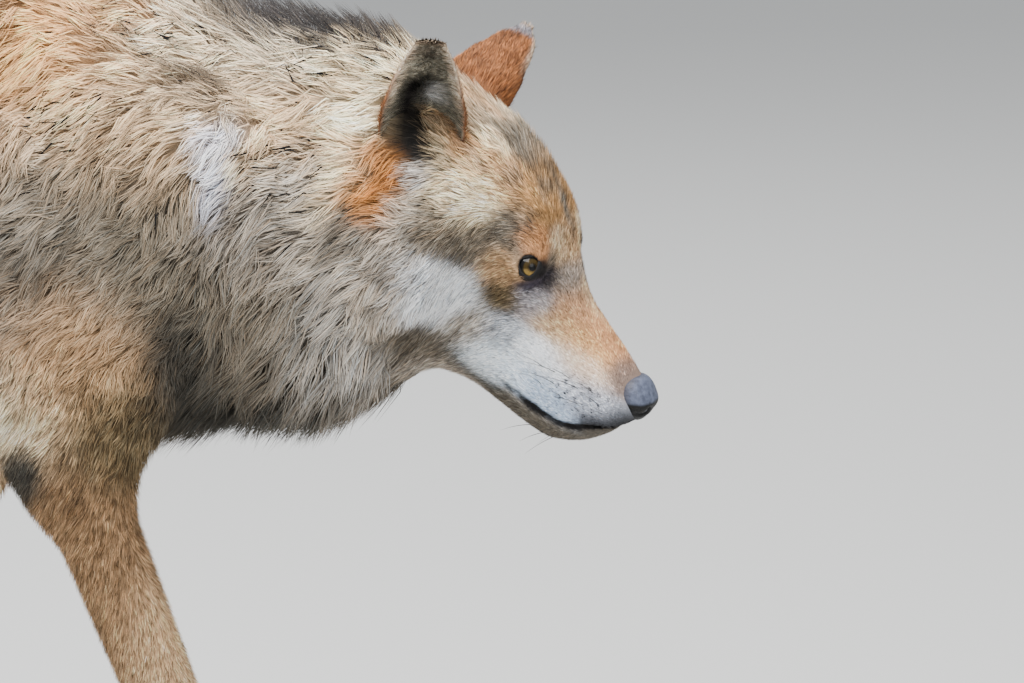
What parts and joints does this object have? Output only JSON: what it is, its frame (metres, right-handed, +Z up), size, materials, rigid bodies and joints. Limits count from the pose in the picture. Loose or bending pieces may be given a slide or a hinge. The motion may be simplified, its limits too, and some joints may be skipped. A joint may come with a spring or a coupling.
{
  "type": "grey wolf, life-size still model",
  "caption": "Grey wolf walking slowly with its head held low, in a tan, grey and cream summer coat with a shaggy neck ruff.",
  "frame": {"origin": "on the ground, under the middle of the box that holds the whole animal", "axes": "+X the way the wolf faces and walks, +Y its left side, +Z up"},
  "size_m": [1.2533, 0.2673, 0.7192],
  "materials": {
    "coat_grizzled": "long shaggy fur, tan and cream with grey wool and black-tipped guard hairs",
    "coat_face": "short dense fur, tan, white on lips and cheeks, grizzled forehead",
    "coat_tan": "short flat orange-tan fur",
    "eye": "wet amber-brown iris with a round black pupil",
    "nose_leather": "moist black skin with a fine pebble grain",
    "claw_horn": "dull dark horn"
  },
  "bodies": {
    "root": {"claw_fore_left_1": "claw_horn", "claw_fore_left_2": "claw_horn", "claw_fore_left_3": "claw_horn", "claw_fore_left_4": "claw_horn", "claw_fore_right_1": "claw_horn", "claw_fore_right_2": "claw_horn", "claw_fore_right_3": "claw_horn", "claw_fore_right_4": "claw_horn", "claw_hind_left_1": "claw_horn", "claw_hind_left_2": "claw_horn", "claw_hind_left_3": "claw_horn", "claw_hind_left_4": "claw_horn", "claw_hind_right_1": "claw_horn", "claw_hind_right_2": "claw_horn", "claw_hind_right_3": "claw_horn", "claw_hind_right_4": "claw_horn", "dewclaw_left": "claw_horn", "dewclaw_right": "claw_horn", "ear_left": "coat_face", "ear_right": "coat_face", "eye_left": "eye", "eye_right": "eye", "forearm_left": "coat_tan", "forearm_right": "coat_tan", "head": "coat_face", "lower_jaw": "coat_face", "neck": "coat_grizzled", "nose": "nose_leather", "paw_fore_left": "coat_tan", "paw_fore_right": "coat_tan", "paw_hind_left": "coat_tan", "paw_hind_right": "coat_tan", "shank_left": "coat_tan", "shank_right": "coat_tan", "tail": "coat_grizzled", "thigh_left": "coat_grizzled", "thigh_right": "coat_grizzled", "trunk": "coat_grizzled", "upper_arm_left": "coat_grizzled", "upper_arm_right": "coat_grizzled"}
  },
  "joints": []
}
